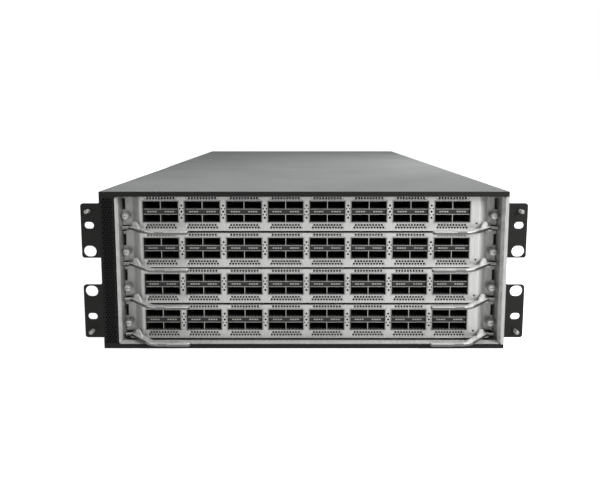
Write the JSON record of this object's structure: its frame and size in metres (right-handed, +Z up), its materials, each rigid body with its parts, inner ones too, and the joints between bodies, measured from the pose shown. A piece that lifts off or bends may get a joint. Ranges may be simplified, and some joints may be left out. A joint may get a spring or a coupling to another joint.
{
  "type": "data center switch",
  "caption": "Modular rack switch with stacked line cards of pluggable ports, ejector levers and thumbscrews, rack ears, fan modules and power supplies.",
  "frame": {"origin": "middle of the bounding box's underside, on the surface that the chassis stands on", "axes": "+X to the right of the front, +Y from the front to the back, +Z up; the ports face -Y"},
  "size_m": [0.4826, 0.795, 0.175],
  "materials": {
    "bright_sheet": "satin",
    "cover_sheet": "satin",
    "black_coat": "satin",
    "cage_steel": "satin",
    "lever_metal": "satin",
    "screw_steel": "polished",
    "circuit_board": "satin",
    "heatsink_metal": "matte",
    "module_case": "satin",
    "black_plastic": "matte"
  },
  "bodies": {
    "root": {"chassis_tray": "cover_sheet", "top_cover": "cover_sheet", "top_trim": "black_coat", "bottom_trim": "black_coat", "vent_column": "black_coat", "left_guide_wall": "bright_sheet", "right_guide_wall": "bright_sheet", "left_upper_ear": "black_coat", "left_lower_ear": "black_coat", "right_upper_ear": "black_coat", "right_lower_ear": "black_coat", "ear_studs": "screw_steel", "midplane": "circuit_board", "switch_board": "circuit_board", "heatsink": "heatsink_metal", "rear_bay_frame": "cover_sheet"},
    "card_1": {"card_1_faceplate": "bright_sheet", "card_1_port_cages": "cage_steel", "card_1_board": "circuit_board", "card_1_floor": "cover_sheet"},
    "left_lever_1": {"card_1_left_lever": "lever_metal"},
    "left_screw_1": {"card_1_left_thumbscrew": "screw_steel"},
    "right_lever_1": {"card_1_right_lever": "lever_metal"},
    "right_screw_1": {"card_1_right_thumbscrew": "screw_steel"},
    "card_2": {"card_2_faceplate": "bright_sheet", "card_2_port_cages": "cage_steel", "card_2_board": "circuit_board", "card_2_floor": "cover_sheet"},
    "left_lever_2": {"card_2_left_lever": "lever_metal"},
    "left_screw_2": {"card_2_left_thumbscrew": "screw_steel"},
    "right_lever_2": {"card_2_right_lever": "lever_metal"},
    "right_screw_2": {"card_2_right_thumbscrew": "screw_steel"},
    "card_3": {"card_3_faceplate": "bright_sheet", "card_3_port_cages": "cage_steel", "card_3_board": "circuit_board", "card_3_floor": "cover_sheet"},
    "left_lever_3": {"card_3_left_lever": "lever_metal"},
    "left_screw_3": {"card_3_left_thumbscrew": "screw_steel"},
    "right_lever_3": {"card_3_right_lever": "lever_metal"},
    "right_screw_3": {"card_3_right_thumbscrew": "screw_steel"},
    "card_4": {"card_4_faceplate": "bright_sheet", "card_4_port_cages": "cage_steel", "card_4_board": "circuit_board", "card_4_floor": "cover_sheet"},
    "left_lever_4": {"card_4_left_lever": "lever_metal"},
    "left_screw_4": {"card_4_left_thumbscrew": "screw_steel"},
    "right_lever_4": {"card_4_right_lever": "lever_metal"},
    "right_screw_4": {"card_4_right_thumbscrew": "screw_steel"},
    "fan_1": {"fan_module_1": "module_case"},
    "rotor_1": {"fan_rotor_1": "black_plastic"},
    "fan_2": {"fan_module_2": "module_case"},
    "rotor_2": {"fan_rotor_2": "black_plastic"},
    "fan_3": {"fan_module_3": "module_case"},
    "rotor_3": {"fan_rotor_3": "black_plastic"},
    "psu_1": {"power_supply_1": "module_case"},
    "psu_2": {"power_supply_2": "module_case"},
    "psu_3": {"power_supply_3": "module_case"},
    "psu_4": {"power_supply_4": "module_case"}
  },
  "joints": [
    {"name": "card_1_slide", "type": "slide", "parent": "root", "child": "card_1", "axis": [0, -1, 0], "range_m": [0, 0.28]},
    {"name": "left_lever_1_swing", "type": "hinge", "parent": "card_1", "child": "left_lever_1", "pos_m": [-0.193, -0.3655, 0.1307], "axis": [0, 0, -1], "range_deg": [0, 60]},
    {"name": "left_screw_1_turn", "type": "hinge", "parent": "card_1", "child": "left_screw_1", "pos_m": [-0.1986, -0.3595, 0.1454], "axis": [0, 1, 0], "continuous": true},
    {"name": "right_lever_1_swing", "type": "hinge", "parent": "card_1", "child": "right_lever_1", "pos_m": [0.2063, -0.3655, 0.1307], "axis": [0, 0, 1], "range_deg": [0, 60]},
    {"name": "right_screw_1_turn", "type": "hinge", "parent": "card_1", "child": "right_screw_1", "pos_m": [0.2119, -0.3595, 0.1454], "axis": [0, 1, 0], "continuous": true},
    {"name": "card_2_slide", "type": "slide", "parent": "root", "child": "card_2", "axis": [0, -1, 0], "range_m": [0, 0.28]},
    {"name": "left_lever_2_swing", "type": "hinge", "parent": "card_2", "child": "left_lever_2", "pos_m": [-0.193, -0.3655, 0.0897], "axis": [0, 0, -1], "range_deg": [0, 60]},
    {"name": "left_screw_2_turn", "type": "hinge", "parent": "card_2", "child": "left_screw_2", "pos_m": [-0.1986, -0.3595, 0.1044], "axis": [0, 1, 0], "continuous": true},
    {"name": "right_lever_2_swing", "type": "hinge", "parent": "card_2", "child": "right_lever_2", "pos_m": [0.2063, -0.3655, 0.0897], "axis": [0, 0, 1], "range_deg": [0, 60]},
    {"name": "right_screw_2_turn", "type": "hinge", "parent": "card_2", "child": "right_screw_2", "pos_m": [0.2119, -0.3595, 0.1044], "axis": [0, 1, 0], "continuous": true},
    {"name": "card_3_slide", "type": "slide", "parent": "root", "child": "card_3", "axis": [0, -1, 0], "range_m": [0, 0.28]},
    {"name": "left_lever_3_swing", "type": "hinge", "parent": "card_3", "child": "left_lever_3", "pos_m": [-0.193, -0.3655, 0.0487], "axis": [0, 0, -1], "range_deg": [0, 60]},
    {"name": "left_screw_3_turn", "type": "hinge", "parent": "card_3", "child": "left_screw_3", "pos_m": [-0.1986, -0.3595, 0.0634], "axis": [0, 1, 0], "continuous": true},
    {"name": "right_lever_3_swing", "type": "hinge", "parent": "card_3", "child": "right_lever_3", "pos_m": [0.2063, -0.3655, 0.0487], "axis": [0, 0, 1], "range_deg": [0, 60]},
    {"name": "right_screw_3_turn", "type": "hinge", "parent": "card_3", "child": "right_screw_3", "pos_m": [0.2119, -0.3595, 0.0634], "axis": [0, 1, 0], "continuous": true},
    {"name": "card_4_slide", "type": "slide", "parent": "root", "child": "card_4", "axis": [0, -1, 0], "range_m": [0, 0.28]},
    {"name": "left_lever_4_swing", "type": "hinge", "parent": "card_4", "child": "left_lever_4", "pos_m": [-0.193, -0.3655, 0.0077], "axis": [0, 0, -1], "range_deg": [0, 60]},
    {"name": "left_screw_4_turn", "type": "hinge", "parent": "card_4", "child": "left_screw_4", "pos_m": [-0.1986, -0.3595, 0.0224], "axis": [0, 1, 0], "continuous": true},
    {"name": "right_lever_4_swing", "type": "hinge", "parent": "card_4", "child": "right_lever_4", "pos_m": [0.2063, -0.3655, 0.0077], "axis": [0, 0, 1], "range_deg": [0, 60]},
    {"name": "right_screw_4_turn", "type": "hinge", "parent": "card_4", "child": "right_screw_4", "pos_m": [0.2119, -0.3595, 0.0224], "axis": [0, 1, 0], "continuous": true},
    {"name": "fan_1_slide", "type": "slide", "parent": "root", "child": "fan_1", "axis": [0, 1, 0], "range_m": [0, 0.055]},
    {"name": "rotor_1_spin", "type": "hinge", "parent": "fan_1", "child": "rotor_1", "pos_m": [-0.14673, 0.3455, 0.1073], "axis": [0, 1, 0], "continuous": true},
    {"name": "fan_2_slide", "type": "slide", "parent": "root", "child": "fan_2", "axis": [0, 1, 0], "range_m": [0, 0.055]},
    {"name": "rotor_2_spin", "type": "hinge", "parent": "fan_2", "child": "rotor_2", "pos_m": [0, 0.3455, 0.1073], "axis": [0, 1, 0], "continuous": true},
    {"name": "fan_3_slide", "type": "slide", "parent": "root", "child": "fan_3", "axis": [0, 1, 0], "range_m": [0, 0.055]},
    {"name": "rotor_3_spin", "type": "hinge", "parent": "fan_3", "child": "rotor_3", "pos_m": [0.14673, 0.3455, 0.1073], "axis": [0, 1, 0], "continuous": true},
    {"name": "psu_1_slide", "type": "slide", "parent": "root", "child": "psu_1", "axis": [0, 1, 0], "range_m": [0, 0.2]},
    {"name": "psu_2_slide", "type": "slide", "parent": "root", "child": "psu_2", "axis": [0, 1, 0], "range_m": [0, 0.2]},
    {"name": "psu_3_slide", "type": "slide", "parent": "root", "child": "psu_3", "axis": [0, 1, 0], "range_m": [0, 0.2]},
    {"name": "psu_4_slide", "type": "slide", "parent": "root", "child": "psu_4", "axis": [0, 1, 0], "range_m": [0, 0.2]}
  ]
}
